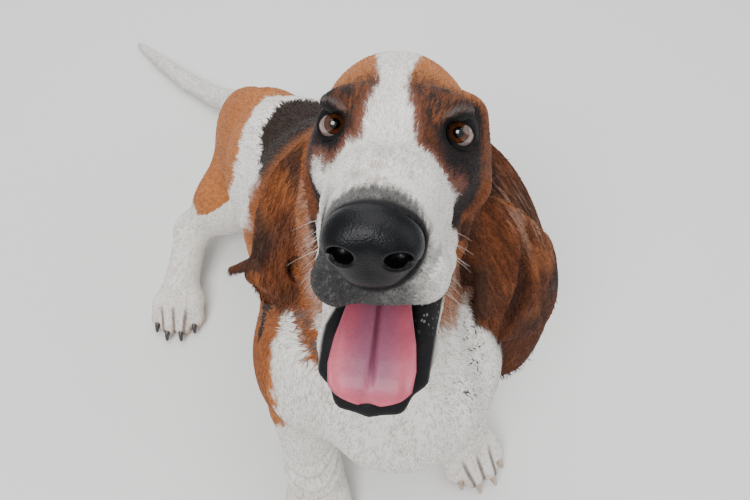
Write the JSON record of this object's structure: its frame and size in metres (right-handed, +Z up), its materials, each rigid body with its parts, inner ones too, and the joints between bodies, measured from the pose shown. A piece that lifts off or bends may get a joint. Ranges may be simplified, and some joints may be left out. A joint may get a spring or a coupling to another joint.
{
  "type": "basset hound model",
  "caption": "Life-size still model of a basset hound sitting with its head raised, mouth open and tongue out.",
  "frame": {"origin": "middle of the bounding box, at floor level", "axes": "+Z up; the dog's body faces -Y and its left side is +X"},
  "size_m": [0.4562, 0.9562, 0.5281],
  "materials": {
    "coat": "short smooth fur, white with black and tan",
    "ear_coat": "short smooth fur, red-brown",
    "lips": "moist dark skin",
    "nose_pad": "moist pebbled skin",
    "tongue": "wet",
    "eyes": "wet gloss",
    "claws": "satin horn"
  },
  "bodies": {
    "root": {"head": "coat", "neck": "coat", "torso": "coat", "rump": "coat", "foreleg_left": "coat", "foreleg_right": "coat", "forepaw_left": "coat", "forepaw_right": "coat", "hindleg_left": "coat", "hindleg_right": "coat", "hindpaw_left": "coat", "hindpaw_right": "coat", "tail": "coat", "ear_left": "ear_coat", "ear_right": "ear_coat", "lower_jaw": "lips", "nose": "nose_pad", "tongue": "tongue", "eye_left": "eyes", "eye_right": "eyes"}
  },
  "joints": []
}
